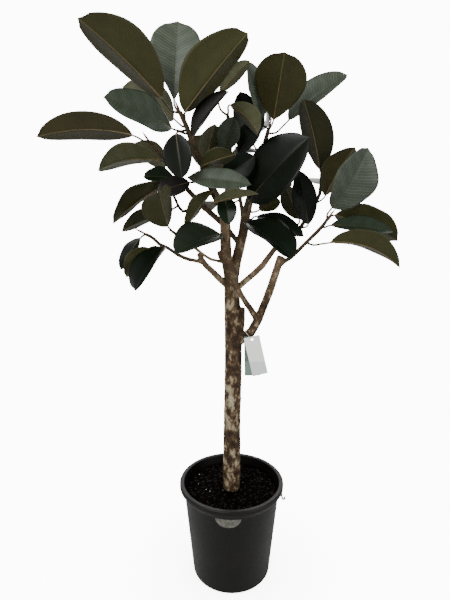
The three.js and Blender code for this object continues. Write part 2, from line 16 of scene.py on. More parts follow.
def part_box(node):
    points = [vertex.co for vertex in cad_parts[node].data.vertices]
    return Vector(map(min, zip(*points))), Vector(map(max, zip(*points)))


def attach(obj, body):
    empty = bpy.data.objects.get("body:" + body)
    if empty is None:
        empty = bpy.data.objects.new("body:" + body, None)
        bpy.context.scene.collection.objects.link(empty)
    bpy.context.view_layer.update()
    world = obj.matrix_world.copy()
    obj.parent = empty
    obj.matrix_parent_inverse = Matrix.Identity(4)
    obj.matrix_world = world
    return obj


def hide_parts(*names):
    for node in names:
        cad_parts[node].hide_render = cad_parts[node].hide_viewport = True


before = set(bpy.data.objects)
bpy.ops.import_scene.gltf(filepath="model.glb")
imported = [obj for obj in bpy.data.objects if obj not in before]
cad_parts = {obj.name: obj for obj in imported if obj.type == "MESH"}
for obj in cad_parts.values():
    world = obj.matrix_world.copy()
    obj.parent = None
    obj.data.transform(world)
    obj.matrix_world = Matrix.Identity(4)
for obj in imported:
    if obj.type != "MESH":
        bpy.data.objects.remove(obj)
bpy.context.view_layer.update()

# %% [markdown]
# Blender works in metres. Sizes below are written in millimetres where a maker would say them so, and one
# factor turns them into metres. Colours are the hex values of a colour picker, turned to the linear values
# that light needs.

# %% Units and colours
MM = 0.001


def linear(hex_colour):
    channels = [int(hex_colour[i : i + 2], 16) / 255 for i in (1, 3, 5)]
    straight = [c / 12.92 if c <= 0.04045 else ((c + 0.055) / 1.055) ** 2.4 for c in channels]
    return (*straight, 1.0)


# %% [markdown]
# The camera stands a little to the plant's left at chest height, about 1.35 m away, and looks slightly
# down. A near camera makes the pot look narrower than the crown, so the distance matters as much as the
# lens.

# %% Camera
CAMERA_PLACE = (-0.0215, -1.352, 1.176)
CAMERA_PITCH = 10.77
CAMERA_LENS = 27.06
camera_data = bpy.data.cameras.new("plant_camera")
camera_data.sensor_fit = "VERTICAL"
camera_data.sensor_height = 36
camera_data.lens = CAMERA_LENS
camera = bpy.data.objects.new("plant_camera", camera_data)
camera.location = CAMERA_PLACE
camera.rotation_euler = (math.radians(90 - CAMERA_PITCH), 0, 0)
bpy.context.scene.collection.objects.link(camera)
bpy.context.scene.camera = camera
print("camera lens", camera_data.lens)

# %% [markdown]
# Materials are built from nodes. One small function adds a node with its settings and its inputs and hands
# back one of its outputs, so a material reads as a short list. An input is a number, a colour, or the
# output of another node.

# %% Start a material and add nodes to it
COLOUR_MIX = {"data_type": "RGBA", "output": 2}  # a mix node that blends colours; its result is output 2


def start_material(name):
    material = bpy.data.materials.new(name)
    material.use_nodes = True
    tree = material.node_tree
    tree.nodes.clear()
    output = tree.nodes.new("ShaderNodeOutputMaterial")
    shader = tree.nodes.new("ShaderNodeBsdfPrincipled")
    tree.links.new(shader.outputs["BSDF"], output.inputs["Surface"])
    return material, tree, shader


def add(tree, kind, inputs, output=0, steps=(), **settings):
    node = tree.nodes.new("ShaderNode" + kind)
    for name, value in settings.items():
        setattr(node, name, value)
    for socket, value in inputs.items():
        if isinstance(value, bpy.types.NodeSocket):
            tree.links.new(value, node.inputs[socket])
        else:
            node.inputs[socket].default_value = linear(value) if isinstance(value, str) else value
    for i, (position, shade) in enumerate(steps):
        stops = node.color_ramp.elements
        stop = stops[i] if i < len(stops) else stops.new(position)
        stop.position = position
        stop.color = linear(shade) if isinstance(shade, str) else (shade, shade, shade, 1)
    return node.outputs[output]


# %% [markdown]
# Several of the plain stuffs, such as bark chips and paper, are one rough colour that wanders between a few
# shades.

# %% A surface flecked with shades


def flecked_surface(name, flecks, shades, roughness):
    """A material whose colour follows a noise through its shades, and the coordinates that it uses."""
    material, tree, shader = start_material(name)
    coordinates = add(tree, "TexCoord", {}, output="Object")
    fleck = add(tree, "TexNoise", {"Vector": coordinates, **flecks})
    tree.links.new(add(tree, "ValToRGB", {0: fleck}, steps=shades), shader.inputs["Base Color"])
    shader.inputs["Roughness"].default_value = roughness
    return material, tree, shader, coordinates


# %% [markdown]
# ** Where a point is on its leaf.** A vein pattern has to follow the leaf, not the room, so each blade
# carries an attribute with three numbers: how far across and along the leaf the point is, in metres, and
# the leaf's own tone. Two more attributes hold its painted sheen, a grey painted reflection on some leaves,
# and its darkening, which is painted shade on the leaves listed as shaded and a small random darkening on
# the rest. The painted sheen is a little stronger over the side veins, as painted highlights, and fades and
# returns about every 35 mm along them. The side veins of a rubber plant are 3 to 5 mm apart. They are
# drawn 8 mm apart here, so that they show at all.

# %% Midrib and side veins
VEIN_SPACING = 8 * MM
STREAK_SPACING = 35 * MM
VEIN_LEAN = 0.42  # how far a side vein runs forward for each metre outwards


def leaf_pattern(tree, rib_half_width):
    """The leaf's tone, painted sheen, darkening factor (painted shade), side veins and midrib, each from 0
    to 1.
    """
    painted_sheen_amount = add(tree, "Attribute", {}, output="Fac", attribute_name="leaf_painted_sheen")
    darkening = add(tree, "Attribute", {}, output="Fac", attribute_name="leaf_darkening")
    place = add(tree, "Attribute", {}, output="Vector", attribute_name="leaf_place")
    apart = {"Vector": place}
    across = add(tree, "Math", {0: add(tree, "SeparateXYZ", apart)}, operation="ABSOLUTE")
    along = add(tree, "SeparateXYZ", apart, output="Y")
    tone = add(tree, "SeparateXYZ", apart, output="Z")
    coordinates = add(tree, "TexCoord", {}, output="Object")
    wander = add(tree, "TexNoise", {"Vector": coordinates, "Scale": 60.0, "Detail": 2.0})
    leaned = add(tree, "Math", {0: across, 1: -VEIN_LEAN, 2: along}, operation="MULTIPLY_ADD")
    drift = add(tree, "Math", {0: wander, 1: 9 * MM, 2: leaned}, operation="MULTIPLY_ADD")
    turns = add(tree, "Math", {0: drift, 1: 2 * math.pi / VEIN_SPACING}, operation="MULTIPLY")
    swing = add(tree, "Math", {0: turns}, operation="SINE")
    wave = add(tree, "Math", {0: swing, 1: 0.5, 2: 0.5}, operation="MULTIPLY_ADD")
    veins = add(tree, "Math", {0: wave, 1: 5.0}, operation="POWER")
    near = add(tree, "Math", {0: across, 1: rib_half_width}, operation="DIVIDE")
    rib = add(tree, "Math", {0: 1.0, 1: near}, operation="SUBTRACT", use_clamp=True)
    # The painted sheen comes and goes in streaks along the side veins about every 35 mm: painted highlights.
    phase = add(tree, "Math", {0: drift, 1: 2 * math.pi / STREAK_SPACING}, operation="MULTIPLY")
    shifted = add(tree, "Math", {0: wander, 1: 5.0, 2: phase}, operation="MULTIPLY_ADD")
    sway = add(tree, "Math", {0: shifted}, operation="SINE")
    streak = add(tree, "Math", {0: sway, 1: 0.07, 2: 0.66}, operation="MULTIPLY_ADD")
    dust_film_and_painted_sheen = add(tree, "Math", {0: streak, 1: painted_sheen_amount}, operation="MULTIPLY", use_clamp=True)
    # Painted shade: a leaf that stands in shade is made up to 60 % darker.
    darkening_factor = add(tree, "Math", {0: darkening, 1: -0.6, 2: 1.0}, operation="MULTIPLY_ADD")
    return tone, dust_film_and_painted_sheen, darkening_factor, veins, rib


# %% [markdown]
# **Upper side of the leaf.** The real skin is a thick waxed cuticle over black-green tissue. Wax gives the
# eye a broad soft highlight, near grey, over a colour that is almost black, so the base stays dark under a
# thin gloss.

# %% Waxed upper skin


def waxed_leaf_skin():
    material, tree, shader = start_material("waxed_leaf_skin")
    tone, dust_film_and_painted_sheen, darkening_factor, veins, rib = leaf_pattern(tree, 1.8 * MM)
    coordinates = add(tree, "TexCoord", {}, output="Object")
    # Clouds 60 to 80 mm across, the size of the dust and water marks on a leaf.
    clouds = add(tree, "TexNoise", {"Vector": coordinates, "Scale": 14.0, "Detail": 4.0, "Roughness": 0.6})
    deep = add(tree, "Mix", {0: tone, 6: "#061305", 7: "#120e0e"}, **COLOUR_MIX)
    pale = add(tree, "Mix", {0: tone, 6: "#0d210a", 7: "#1c1517"}, **COLOUR_MIX)
    fresh = add(tree, "Mix", {0: clouds, 6: deep, 7: pale}, **COLOUR_MIX)
    # Painted reflection: a grey sheen laid over the colour, as strong as the leaf's painted sheen amount.
    with_painted_sheen = add(tree, "Mix", {0: dust_film_and_painted_sheen, 6: fresh, 7: "#626b5c"}, **COLOUR_MIX)
    # The painted sheen is strongest over the side veins: painted highlights along them.
    vein_painted_highlight_amount = add(tree, "Math", {0: dust_film_and_painted_sheen, 1: 0.4, 2: 0.05}, operation="MULTIPLY_ADD")
    vein_share = add(tree, "Math", {0: veins, 1: vein_painted_highlight_amount}, operation="MULTIPLY")
    vein_tint_and_painted_highlight = add(tree, "Mix", {0: dust_film_and_painted_sheen, 6: "#2c352a", 7: "#a3ab9b"}, **COLOUR_MIX)
    veined = add(tree, "Mix", {0: vein_share, 6: with_painted_sheen, 7: vein_tint_and_painted_highlight}, **COLOUR_MIX)
    rib_share = add(tree, "Math", {0: rib, 1: 0.7}, operation="MULTIPLY")
    ribbed = add(tree, "Mix", {0: rib_share, 6: veined, 7: "#3c4129"}, **COLOUR_MIX)
    # Painted shade darkens the leaves that stand in shade.
    bark_aged_and_leaf_darkened = add(tree, "Mix", {0: 1.0, 6: ribbed, 7: darkening_factor}, **COLOUR_MIX, blend_type="MULTIPLY")
    tree.links.new(bark_aged_and_leaf_darkened, shader.inputs["Base Color"])
    smears = add(tree, "Math", {0: clouds, 1: 0.25, 2: 0.27}, operation="MULTIPLY_ADD")
    tree.links.new(smears, shader.inputs["Roughness"])
    shader.inputs["IOR"].default_value = 1.42
    shader.inputs["Specular IOR Level"].default_value = 0.21
    shader.inputs["Coat Weight"].default_value = 0.05
    shader.inputs["Coat Roughness"].default_value = 0.22
    sunk = add(tree, "Math", {0: veins, 1: -0.12, 2: 0.0}, operation="MULTIPLY_ADD")
    groove = add(tree, "Math", {0: rib, 1: -1.0, 2: sunk}, operation="MULTIPLY_ADD")
    relief = add(tree, "Bump", {"Height": groove, "Strength": 0.5, "Distance": 0.6 * MM})
    tree.links.new(relief, shader.inputs["Normal"])
    return material


upper_side = waxed_leaf_skin()
print("made", upper_side.name)

# %% [markdown]
# **Underside of the leaf.** There is no wax here. The real surface is a dry olive brown with fine hairs and
# breathing pores, which scatter light, so it is rougher, with a faint sheen at the edge. The midrib and
# veins stand out.

# %% Dry underside skin


def dry_leaf_underside():
    material, tree, shader = start_material("dry_leaf_underside")
    tone, dust_film_and_painted_sheen, darkening_factor, veins, rib = leaf_pattern(tree, 3.0 * MM)
    coordinates = add(tree, "TexCoord", {}, output="Object")
    # Clouds about 50 mm across, where the leaf is thicker or younger.
    clouds = add(tree, "TexNoise", {"Vector": coordinates, "Scale": 18.0, "Detail": 5.0, "Roughness": 0.62})
    deep = add(tree, "Mix", {0: tone, 6: "#232409", 7: "#271c0c"}, **COLOUR_MIX)
    pale = add(tree, "Mix", {0: tone, 6: "#3d3d18", 7: "#3f3319"}, **COLOUR_MIX)
    fresh = add(tree, "Mix", {0: clouds, 6: deep, 7: pale}, **COLOUR_MIX)
    # Painted reflection: a pale grey sheen laid over the underside's colour.
    with_painted_sheen = add(tree, "Mix", {0: dust_film_and_painted_sheen, 6: fresh, 7: "#70745a"}, **COLOUR_MIX)
    vein_share = add(tree, "Math", {0: veins, 1: 0.07}, operation="MULTIPLY")
    veined = add(tree, "Mix", {0: vein_share, 6: with_painted_sheen, 7: "#57523a"}, **COLOUR_MIX)
    rib_share = add(tree, "Math", {0: rib, 1: 0.6}, operation="MULTIPLY")
    ribbed = add(tree, "Mix", {0: rib_share, 6: veined, 7: "#6a6440"}, **COLOUR_MIX)
    # Painted shade darkens the undersides that stand in shade.
    bark_aged_and_leaf_darkened = add(tree, "Mix", {0: 1.0, 6: ribbed, 7: darkening_factor}, **COLOUR_MIX, blend_type="MULTIPLY")
    tree.links.new(bark_aged_and_leaf_darkened, shader.inputs["Base Color"])
    dryness = add(tree, "Math", {0: clouds, 1: 0.2, 2: 0.4}, operation="MULTIPLY_ADD")
    tree.links.new(dryness, shader.inputs["Roughness"])
    shader.inputs["Specular IOR Level"].default_value = 0.25
    shader.inputs["Sheen Weight"].default_value = 0.04
    shader.inputs["Sheen Roughness"].default_value = 0.5
    raised = add(tree, "Math", {0: veins, 1: 0.18, 2: rib}, operation="MULTIPLY_ADD")
    relief = add(tree, "Bump", {"Height": raised, "Strength": 0.5, "Distance": 0.7 * MM})
    tree.links.new(relief, shader.inputs["Normal"])
    return material


underside = dry_leaf_underside()
print("made", underside.name)

# %% [markdown]
# **Leaf stalk.** The stalk and midrib are living, waxed stems. The stalk is a dark olive brown with a red
# flush, and it is paler where it runs on under the blade as the midrib. Both are smooth and thin, so colour
# in soft patches about 20 mm long is all that the eye gets from them.

# %% Stalk skin


def stalk_skin():
    material, tree, shader = start_material("living_leaf_stalk")
    coordinates = add(tree, "TexCoord", {}, output="Object")
    flush = add(tree, "TexNoise", {"Vector": coordinates, "Scale": 40.0, "Detail": 3.0})
    stalk = add(tree, "ValToRGB", {0: flush}, steps=[(0.3, "#241d10"), (0.5, "#35321d"), (0.7, "#41241a")])
    rib = add(tree, "ValToRGB", {0: flush}, steps=[(0.3, "#4a3820"), (0.5, "#5f5635"), (0.7, "#64432f")])
    under_blade = add(tree, "Attribute", {}, output="Fac", attribute_name="under_blade")
    shade = add(tree, "Mix", {0: under_blade, 6: stalk, 7: rib}, **COLOUR_MIX)
    tree.links.new(shade, shader.inputs["Base Color"])
    shader.inputs["Roughness"].default_value = 0.45
    shader.inputs["Specular IOR Level"].default_value = 0.3
    return material


stalk_green = stalk_skin()
print("made", stalk_green.name)

# %% [markdown]
# A rod that follows a curve is used for petioles, bud sheaths and hooks. A closed cylinder is made once,
# cut into short lengths, and each ring of it is carried to its place on the curve, so the rod has no open
# end and no seam.

# %% Smooth curves and bent rods


def ease(values, share):
    """A smooth value at share (0 to 1) of an evenly spaced list of numbers or vectors."""
    last = len(values) - 1
    place = min(max(share, 0.0), 1.0) * last
    i = min(int(place), last - 1)
    f = place - i
    before, here, there, after = (values[min(max(k, 0), last)] for k in (i - 1, i, i + 1, i + 2))
    slope_here = (there - before) * 0.5
    slope_there = (after - here) * 0.5
    f2, f3 = f * f, f * f * f
    return (
        here * (2 * f3 - 3 * f2 + 1)
        + slope_here * (f3 - 2 * f2 + f)
        + there * (3 * f2 - 2 * f3)
        + slope_there * (f3 - f2)
    )


def bent_rod(points, radii, sides=8, spans=24):
    """A closed rod through the points, as a bmesh."""
    rod = bmesh.new()
    bmesh.ops.create_cone(rod, cap_ends=True, segments=sides, radius1=1, radius2=1, depth=1)
    lengthwise = [e for e in rod.edges if abs(e.verts[0].co.z - e.verts[1].co.z) > 0.5]
    bmesh.ops.subdivide_edges(rod, edges=lengthwise, cuts=spans - 1, use_grid_fill=True)
    stations = []
    normal = None
    for i in range(spans + 1):
        share = i / spans
        centre = ease(points, share)
        heading = (ease(points, share + 0.01) - ease(points, share - 0.01)).normalized()
        if normal is None:
            normal = heading.orthogonal().normalized()
        normal = (normal - heading * normal.dot(heading)).normalized()
        stations.append((centre, normal, heading.cross(normal), ease(radii, share)))
    for vert in rod.verts:
        centre, first, second, radius = stations[round((vert.co.z + 0.5) * spans)]
        vert.co = centre + first * vert.co.x * radius + second * vert.co.y * radius
    return rod


def finish_piece(mesh_data, name, materials, smooth=True):
    """Turns a bmesh into a piece of the plant that rides with it."""
    mesh = bpy.data.meshes.new(name)
    mesh_data.to_mesh(mesh)
    mesh_data.free()
    for material in materials:
        mesh.materials.append(material)
    for face in mesh.polygons:
        face.use_smooth = smooth
    piece = bpy.data.objects.new(name, mesh)
    bpy.context.scene.collection.objects.link(piece)
    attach(piece, "root")
    return piece


# %% [markdown]
# **Reading a leaf from the frame.** Each leaf of the engineering model is a plain folded strip: twelve
# rings of six corners, three on the petiole and nine on the blade. Its mesh comes in as loose triangles, so
# it is merged first. Walking outwards from the foot, one step at a time, finds the rings in order, and the
# rings give the midrib, the two edges and the way the upper side faces.

# %% Leaf stations
RING_CORNERS = 6
PETIOLE_RINGS = 3


def merged_copy(node):
    copy = bmesh.new()
    copy.from_mesh(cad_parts[node].data)
    bmesh.ops.remove_doubles(copy, verts=copy.verts, dist=0.02 * MM)
    return copy


def middle(verts):
    return sum((v.co for v in verts), Vector()) / len(verts)


def leaf_rings(node):
    copy = merged_copy(node)
    hubs = []
    for vert in copy.verts:
        around = [e.other_vert(vert) for e in vert.link_edges]
        is_hub = len(around) == RING_CORNERS and (middle(around) - vert.co).length < 0.05 * MM
        if is_hub and max((v.co - vert.co).length for v in around) < 4 * MM:
            hubs.append(vert)
    seen = {hubs[0]}
    level = [hubs[0]]
    rings = []
    while level:
        following = []
        for vert in level:
            for edge in vert.link_edges:
                other = edge.other_vert(vert)
                if other not in seen:
                    seen.add(other)
                    following.append(other)
        if len(following) == RING_CORNERS:
            rings.append([v.co.copy() for v in ring_in_order(following)])
        level = following
    copy.free()

    def spread(ring):
        return max((a - b).length for a in ring for b in ring)

    if spread(rings[2]) > spread(rings[-3]):
        rings.reverse()
    return rings


def ring_in_order(verts):
    """The corners of a ring, each beside its neighbours."""
    ordered = [verts[0]]
    while len(ordered) < len(verts):
        beside = [e.other_vert(ordered[-1]) for e in ordered[-1].link_edges]
        ordered.append(next(v for v in beside if v in verts and v not in ordered))
    return ordered


def blade_station(ring):
    """Midrib point, left edge, right edge of one ring, edges in no known order yet."""
    sides = [(ring[i], ring[(i + 1) % RING_CORNERS], i) for i in range(RING_CORNERS)]
    sides.sort(key=lambda side: (side[0] - side[1]).length)
    edges = [(a + b) / 2 for a, b, _ in sides[:2]]
    used = {k for _, _, i in sides[:2] for k in (i, (i + 1) % RING_CORNERS)}
    ribs = [ring[k] for k in range(RING_CORNERS) if k not in used]
    chord = (edges[0] + edges[1]) / 2
    ribs.sort(key=lambda point: (point - chord).length)
    return ribs[0], edges[0], edges[1]


class Leaf:
    """The smooth lines of one leaf: midrib, directions, half-widths and folds, ring by ring."""

    def __init__(self, node):
        rings = leaf_rings(node)
        centres = [sum(ring, Vector()) / RING_CORNERS for ring in rings]
        self.petiole = centres[: PETIOLE_RINGS + 1]
        blade = rings[PETIOLE_RINGS:]
        tops, acrosses, ups, halves, folds = [], [], [], [], []
        for i, ring in enumerate(blade):
            if i in (0, len(blade) - 1):
                tops.append(centres[PETIOLE_RINGS + i])
                continue
            top, left, right = blade_station(ring)
            tops.append(top)
            heading = (centres[PETIOLE_RINGS + i + 1] - centres[PETIOLE_RINGS + i - 1]).normalized()
            across = (right - left).normalized()
            up = across.cross(heading).normalized()
            if ((left + right) / 2 - top).dot(up) < 0:
                left, right = right, left
                across, up = -across, -up
            level = (right - left).length / 2
            raised = ((left + right) / 2 - top).dot(up)
            acrosses.append(across)
            ups.append(up)
            halves.append(math.hypot(level, raised))
            folds.append(math.atan2(raised, level))
        gaps = [(b - a).length for a, b in zip(tops, tops[1:])]
        self.length = sum(gaps)
        self.shares = [sum(gaps[:i]) / self.length for i in range(len(tops))]
        self.tops = tops
        self.acrosses = [acrosses[0], *acrosses, acrosses[-1]]
        self.ups = [ups[0], *ups, ups[-1]]
        self.halves = [0.0, *halves, 0.0]
        self.folds = [folds[0], *folds, folds[-1]]
        self.half = max(halves)

    def at(self, values, share):
        """A smooth value where the stations are unevenly spaced."""
        i = max(k for k in range(len(self.shares) - 1) if self.shares[k] <= share + 1e-9)
        step = (share - self.shares[i]) / (self.shares[i + 1] - self.shares[i])
        return ease(values, (i + step) / (len(values) - 1))


first_leaf = Leaf("leaf_01")
print("first leaf is", round(first_leaf.length / MM), "mm long")
print("and", round(2 * first_leaf.half / MM), "mm wide")

# %% [markdown]
# **A leaf blade** could be cut from a flat sheet and bent, but it is quicker to bend a grid straight onto
# the lines just read. Across the blade each half rises steeply beside the midrib and levels out towards its
# edge, as a real rubber plant leaf does. The edge waves slightly, the tip runs out into a short point, and
# Solidify gives the sheet its thickness, with the underside's own material.

# %% Blade, midrib and petiole
ACROSS_CELLS = 16
ALONG_CELLS = 34
BLADE_THICKNESS = 0.9 * MM
LEVELLING = 0.45  # how much each half bulges between midrib and edge
CREASE_ROUND = 0.05
TIP_START = 0.93
SHADE_DRAWS = random.Random(7)
# How much painted sheen, a grey painted reflection, a leaf carries, which leaves are still purple from the
# bud, which have turned olive under the blade, and how much painted shade darkens a leaf, from 0 to 1.
PAINTED_SHEEN = {
    "leaf_02": 0.8, "leaf_04": 0.5, "leaf_06": 0.4, "leaf_15": 0.6, "leaf_16": 0.5, "leaf_18": 0.16,
    "leaf_26": 0.45, "leaf_27": 0.3, "leaf_28": 0.7, "leaf_29": 0.85, "leaf_31": 0.7, "leaf_35": 0.75,
    "leaf_39": 0.2, "leaf_50": 0.6,
}
PURPLE = {"leaf_07", "leaf_08", "leaf_13"}
OLIVE = {"leaf_06", "leaf_10", "leaf_11", "leaf_12", "leaf_14", "leaf_38", "leaf_40", "leaf_43"}
# The leaves listed here get painted shade as their darkening; the other leaves draw a small random
# darkening.
PAINTED_SHADE = {
    "leaf_10": 0.45, "leaf_11": 0.3, "leaf_12": 0.0, "leaf_14": 0.0, "leaf_18": 0.4, "leaf_19": 0.8,
    "leaf_21": 0.9, "leaf_25": 0.9, "leaf_32": 0.85, "leaf_33": 0.7, "leaf_34": 0.4, "leaf_36": 0.7,
    "leaf_38": 0.25, "leaf_40": 0.0, "leaf_41": 0.7, "leaf_44": 0.9,
}


def outline(leaf, share):
    """Half-width of the blade, with a full base and a short drawn-out tip."""
    half = leaf.at(leaf.halves, share)
    if share > TIP_START:
        at_start = leaf.at(leaf.halves, TIP_START)
        left = (1 - share) / (1 - TIP_START)
        half = at_start * (0.12 * left + 0.88 * left**1.7)
    return max(half, 0.0)


def blade_point(leaf, side, share, wave):
    up = leaf.at(leaf.ups, share).normalized()
    across = leaf.at(leaf.acrosses, share).normalized()
    half = outline(leaf, share)
    fold = leaf.at(leaf.folds, share)
    steepness = math.sqrt(side * side + CREASE_ROUND**2) - CREASE_ROUND
    rise = steepness + LEVELLING * (steepness - side * side)
    ripple = wave["size"] * math.sin(share * wave["turns"] + wave["start"] + (2.1 if side > 0 else 0.0))
    lift = half * (math.sin(fold) * rise + ripple * side * side)
    return leaf.at(leaf.tops, share) + across * half * math.cos(fold) * side + up * lift


def blade_mesh(leaf, tone, painted_sheen_amount, darkening):
    blade = bmesh.new()
    bmesh.ops.create_grid(blade, x_segments=ACROSS_CELLS, y_segments=ALONG_CELLS, size=1)
    place = blade.verts.layers.float_vector.new("leaf_place")
    dust_film_and_painted_sheen = blade.verts.layers.float.new("leaf_painted_sheen")
    darkening_layer = blade.verts.layers.float.new("leaf_darkening")
    wave = {
        "size": SHADE_DRAWS.uniform(0.02, 0.07),
        "turns": SHADE_DRAWS.uniform(6, 13),
        "start": SHADE_DRAWS.uniform(0, 6),
    }
    for vert in blade.verts:
        side = vert.co.x
        share = 0.5 - 0.5 * math.cos(math.pi * (vert.co.y + 1) / 2)
        vert[place] = (side * outline(leaf, share), share * leaf.length, tone)
        vert[dust_film_and_painted_sheen] = painted_sheen_amount
        vert[darkening_layer] = darkening
        vert.co = blade_point(leaf, side, share, wave)
    bmesh.ops.remove_doubles(blade, verts=blade.verts, dist=0.05 * MM)
    return blade


def midrib_rod(leaf):
    """The petiole and the raised rib under the blade, as one tapering rod."""
    foot = leaf.petiole[0] + (leaf.petiole[0] - leaf.petiole[1]).normalized() * 1.5 * MM
    points = [foot, *leaf.petiole[:-1]]
    radii = [3.8 * MM, 3.4 * MM, 3.0 * MM, 2.8 * MM]
    ribs = 14
    for i in range(ribs + 1):
        share = i / ribs * 0.985
        below = leaf.at(leaf.ups, share) * (1.1 * MM) * (1 - share * 0.6)
        points.append(leaf.at(leaf.tops, share) - below)
        radii.append((2.5 - 2.05 * (i / ribs) ** 0.6) * MM)
    rod = bent_rod(points, radii, sides=8, spans=44)
    under_blade = rod.verts.layers.float.new("under_blade")
    forward = leaf.tops[1] - leaf.tops[0]
    for vert in rod.verts:
        vert[under_blade] = 1.0 if (vert.co - leaf.tops[0]).dot(forward) > 0 else 0.0
    return rod


def add_leaf(node):
    leaf = Leaf(node)
    drawn = SHADE_DRAWS.uniform(0, 0.45)
    tone = 0.0 if node in OLIVE else drawn + (0.5 if node in PURPLE else 0)
    sheet = blade_mesh(leaf, tone, PAINTED_SHEEN.get(node, 0), PAINTED_SHADE.get(node, SHADE_DRAWS.uniform(0, 0.3)))
    blade = finish_piece(sheet, node.replace("leaf", "blade"), [upper_side, underside])
    thick = blade.modifiers.new("thickness", "SOLIDIFY")
    thick.thickness = BLADE_THICKNESS
    thick.offset = 0
    thick.material_offset = 1
    thick.material_offset_rim = 1
    stalk = finish_piece(midrib_rod(leaf), node.replace("leaf", "stalk"), [stalk_green])
    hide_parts(node)
    return blade, stalk, leaf


leaf_nodes = sorted(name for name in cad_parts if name.startswith("leaf_"))
leaves = {node: add_leaf(node) for node in leaf_nodes}
print("leaves", len(leaves))

# %% [markdown]
# **Bark.** A rubber plant's young trunk is smooth at first, then breaks into a mottle: dark brown where it
# is wet or old, tan and grey where the outer skin has dried, and a green tint of algae. The patches are 10
# to 40 mm across, with fine cork grain inside them.

# %% Bark material
LIMBS_MIDDLE = 25 * MM  # along X, the middle between the limbs that reach out to each side


def mottled_bark():
    material, tree, shader = start_material("mottled_bark")
    coordinates = add(tree, "TexCoord", {}, output="Object")
    tall = add(tree, "Mapping", {"Vector": coordinates, "Scale": (1.0, 1.0, 0.6)})
    # Patches of about 20 mm inside islands of about 60 mm, with cork grain of about 4 mm.
    patches = add(tree, "TexNoise", {"Vector": tall, "Scale": 50.0, "Detail": 7.0, "Roughness": 0.66})
    islands = add(tree, "TexNoise", {"Vector": tall, "Scale": 15.0, "Detail": 5.0, "Roughness": 0.55})
    grain = add(tree, "TexNoise", {"Vector": tall, "Scale": 260.0, "Detail": 4.0, "Roughness": 0.7})
    cracks = add(tree, "TexVoronoi", {"Vector": tall, "Scale": 95.0}, feature="DISTANCE_TO_EDGE")
    lightness = add(tree, "Math", {0: islands, 1: 0.55, 2: -0.27}, operation="MULTIPLY_ADD")
    mottle = add(tree, "Math", {0: patches, 1: lightness}, operation="ADD")
    cork = [(0.40, "#281b10"), (0.50, "#443321"), (0.55, "#68543d"), (0.58, "#8a7e65"), (0.72, "#b0a68c")]
    old = add(tree, "ValToRGB", {0: mottle}, steps=cork)
    twig = add(tree, "Mix", {0: grain, 6: "#1c150c", 7: "#54442e"}, **COLOUR_MIX)
    # The young wood is at the shoots' ends, which are high up or far out to the side.
    height = add(tree, "SeparateXYZ", {"Vector": coordinates}, output="Z")
    high = add(tree, "MapRange", {"Value": height, "From Min": 1.12, "From Max": 1.27})
    shift = {"Location": (-LIMBS_MIDDLE, 0.0, 0.0), "Scale": (1.0, 1.0, 0.0)}
    level = add(tree, "Mapping", {"Vector": coordinates, **shift})
    reach = add(tree, "VectorMath", {"Vector": level}, output="Value", operation="LENGTH")
    far = add(tree, "MapRange", {"Value": reach, "From Min": 0.12, "From Max": 0.15})
    youth = add(tree, "Math", {0: high, 1: far}, operation="MAXIMUM")
    # The mottle fades on the limbs, which are younger than the trunk.
    fading = add(tree, "MapRange", {"Value": height, "From Min": 0.9, "From Max": 1.0, "To Max": 0.4})
    limbs = add(tree, "Mix", {0: fading, 6: old, 7: "#7e6b52"}, **COLOUR_MIX)
    bark_aged_and_leaf_darkened = add(tree, "Mix", {0: youth, 6: limbs, 7: twig}, **COLOUR_MIX)
    grained = add(tree, "Mix", {0: 0.4, 6: bark_aged_and_leaf_darkened, 7: grain}, **COLOUR_MIX, blend_type="OVERLAY")
    tree.links.new(grained, shader.inputs["Base Color"])
    shader.inputs["Roughness"].default_value = 0.85
    shader.inputs["Specular IOR Level"].default_value = 0.3
    edges = add(tree, "Math", {0: cracks, 1: 9.0}, operation="MULTIPLY", use_clamp=True)
    broad = add(tree, "Math", {0: patches, 1: 1.6, 2: edges}, operation="MULTIPLY_ADD")
    fine = add(tree, "Math", {0: grain, 1: 0.5, 2: broad}, operation="MULTIPLY_ADD")
    relief = add(tree, "Bump", {"Height": fine, "Strength": 0.7, "Distance": 1.4 * MM})
    tree.links.new(relief, shader.inputs["Normal"])
    return material


bark = mottled_bark()
print("made", bark.name)

# %% [markdown]
# **Trunk and limbs.** The engineering model joins plain tapered rounds, so its forks are sharp. On the
# tree, wood swells into every fork. A voxel remesh turns the joined rounds into one even skin, smoothing
# fills the forks, and then every point is pushed in or out by noise for swellings, knots and bark ridges.

# %% Trunk and limbs
VOXEL = 2.4 * MM
SMOOTHINGS = 4
BARK_REGAIN = 0.25 * MM  # smoothing also thins the whole trunk, by about this much
TWIG_REGAIN = 1.2 * MM
FORK_HEIGHT = 0.95
# Twigs start above this height, and outside this distance from the middle of the limbs.
YOUNG_FROM = 1.1
TWIGS_OUT = 0.12
KNOT_HEIGHTS = (0.36, 0.445, 0.52, 0.60, 0.69, 0.775, 0.86)


def remeshed(node, name, size, rounds):
    copy = merged_copy(node)
    mesh = bpy.data.meshes.new(name)
    copy.to_mesh(mesh)
    copy.free()
    raw = bpy.data.objects.new(name + "_raw", mesh)
    bpy.context.scene.collection.objects.link(raw)
    voxels = raw.modifiers.new("voxels", "REMESH")
    voxels.mode = "VOXEL"
    voxels.voxel_size = size
    soften = raw.modifiers.new("soften", "SMOOTH")
    soften.factor = 0.5
    soften.iterations = rounds
    shape = bmesh.new()
    shape.from_object(raw, bpy.context.evaluated_depsgraph_get())
    bpy.data.objects.remove(raw)
    return shape


